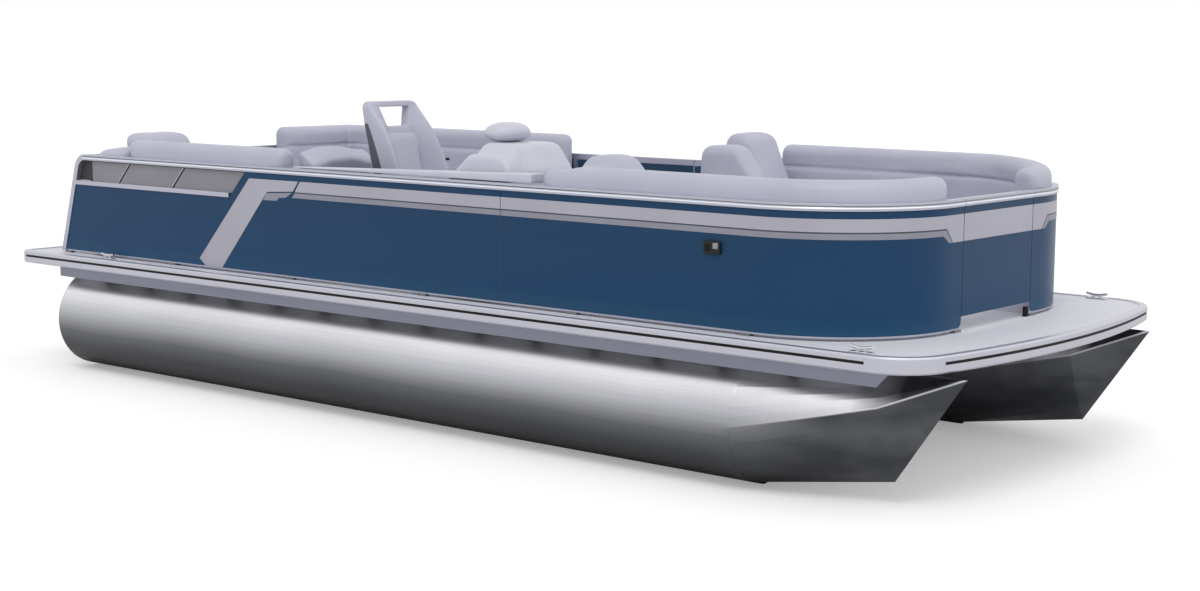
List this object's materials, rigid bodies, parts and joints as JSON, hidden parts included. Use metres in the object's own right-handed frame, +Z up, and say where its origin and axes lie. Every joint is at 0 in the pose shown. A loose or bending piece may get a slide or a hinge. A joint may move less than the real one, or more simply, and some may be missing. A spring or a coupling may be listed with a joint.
{
  "type": "pontoon boat",
  "caption": "Open leisure boat on twin aluminium tubes, with a railed deck, curved bow fence, gates, padded lounges, helm stand and swivel chair.",
  "frame": {"origin": "under the middle of the boat, on the floor that its two tubes stand on", "axes": "+X towards the bow, +Y to port, +Z up"},
  "size_m": [7.033, 2.59, 1.775],
  "materials": {
    "tube_aluminium": "brushed",
    "mill_aluminium": "mill",
    "deck_vinyl": "matte",
    "black_insert": "matte",
    "rail_aluminium": "satin",
    "pale_panel": "satin",
    "blue_panel": "gloss",
    "fence_rail": "satin",
    "black_rubber": "matte",
    "dark_plastic": "matte",
    "pale_plastic": "satin",
    "wheel_grip": "matte",
    "satin_metal": "satin",
    "cleat_metal": "polished",
    "seat_vinyl": "soft sheen"
  },
  "bodies": {
    "hull": {"bow_chaise_port": "seat_vinyl", "bow_chaise_starboard": "seat_vinyl", "bow_lounge_back_port": "seat_vinyl", "bow_lounge_back_starboard": "seat_vinyl", "bow_lounge_base_port": "pale_plastic", "bow_lounge_base_starboard": "pale_plastic", "bow_lounge_corner_port": "seat_vinyl", "bow_lounge_corner_starboard": "seat_vinyl", "chair_pedestal": "satin_metal", "corner_caps": "rail_aluminium", "cross_members": "mill_aluminium", "deck": "deck_vinyl", "deck_risers": "mill_aluminium", "fence_feet": "mill_aluminium", "fence_frame_port_aft": "fence_rail", "fence_frame_port_bow": "fence_rail", "fence_frame_starboard": "fence_rail", "fence_panel_port_aft": "blue_panel", "fence_panel_port_bow": "blue_panel", "fence_panel_starboard_aft": "blue_panel", "fence_panel_starboard_bow": "blue_panel", "gate_bumper": "black_rubber", "gate_hinges": "fence_rail", "helm_console": "pale_plastic", "mooring_cleats": "cleat_metal", "pontoon_port": "tube_aluminium", "pontoon_starboard": "tube_aluminium", "recess_plates": "pale_panel", "rub_rail_bow": "rail_aluminium", "rub_rail_inserts": "black_insert", "rub_rail_port": "rail_aluminium", "rub_rail_starboard": "rail_aluminium", "rub_rail_stern": "rail_aluminium", "side_lamps": "dark_plastic", "side_shelf": "pale_plastic", "skirt_port": "rail_aluminium", "skirt_starboard": "rail_aluminium", "steering_column": "dark_plastic", "stern_chaise_starboard": "seat_vinyl", "stern_frames": "fence_rail", "stern_lounge_back_port": "seat_vinyl", "stern_lounge_back_starboard": "seat_vinyl", "stern_lounge_base_port": "pale_plastic", "stern_lounge_base_starboard": "pale_plastic", "stern_lounge_corner_port": "seat_vinyl", "stern_panels": "blue_panel", "transom_pod": "mill_aluminium"},
    "bow_gate": {"bow_gate_frame": "fence_rail", "bow_gate_panel": "blue_panel"},
    "side_gate": {"side_gate_frame": "fence_rail", "side_gate_panel": "blue_panel"},
    "stern_gate": {"stern_gate_frame": "fence_rail", "stern_gate_panel": "blue_panel"},
    "wheel": {"steering_wheel": "wheel_grip"},
    "chair": {"chair_seat": "seat_vinyl", "chair_back": "seat_vinyl"},
    "bow_lid_port": {"bow_lounge_lid_port": "seat_vinyl"},
    "bow_lid_starboard": {"bow_lounge_lid_starboard": "seat_vinyl"},
    "stern_lid_port": {"stern_lounge_lid_port": "seat_vinyl"},
    "stern_lid_starboard": {"stern_lounge_lid_starboard": "seat_vinyl"}
  },
  "joints": [
    {"name": "bow_gate_hinge", "type": "hinge", "parent": "hull", "child": "bow_gate", "pos_m": [3.0455, -0.358, 1.045], "axis": [0, 0, 1], "range_deg": [0, 90]},
    {"name": "side_gate_hinge", "type": "hinge", "parent": "hull", "child": "side_gate", "pos_m": [0.3735, 1.111, 1.045], "axis": [0, 0, 1], "range_deg": [0, 90]},
    {"name": "stern_gate_hinge", "type": "hinge", "parent": "hull", "child": "stern_gate", "pos_m": [-2.7475, 0.33, 1.045], "axis": [0, 0, 1], "range_deg": [0, 90]},
    {"name": "steering", "type": "hinge", "parent": "hull", "child": "wheel", "pos_m": [0.1935, -0.59, 1.4], "axis": [-0.788, 0, 0.6157], "range_deg": [-540, 540]},
    {"name": "chair_swivel", "type": "hinge", "parent": "hull", "child": "chair", "pos_m": [-0.2265, -0.59, 1.095], "axis": [0, 0, 1], "range_deg": [-90, 90]},
    {"name": "bow_lid_port_hinge", "type": "hinge", "parent": "hull", "child": "bow_lid_port", "pos_m": [1.6635, 0.9727, 1.1753], "axis": [-1, 0, 0], "range_deg": [0, 75]},
    {"name": "bow_lid_starboard_hinge", "type": "hinge", "parent": "hull", "child": "bow_lid_starboard", "pos_m": [1.6635, -0.9727, 1.1753], "axis": [1, 0, 0], "range_deg": [0, 75]},
    {"name": "stern_lid_port_hinge", "type": "hinge", "parent": "hull", "child": "stern_lid_port", "pos_m": [-1.5365, 0.9727, 1.1753], "axis": [-1, 0, 0], "range_deg": [0, 75]},
    {"name": "stern_lid_starboard_hinge", "type": "hinge", "parent": "hull", "child": "stern_lid_starboard", "pos_m": [-1.8365, -0.9727, 1.1753], "axis": [1, 0, 0], "range_deg": [0, 75]}
  ]
}
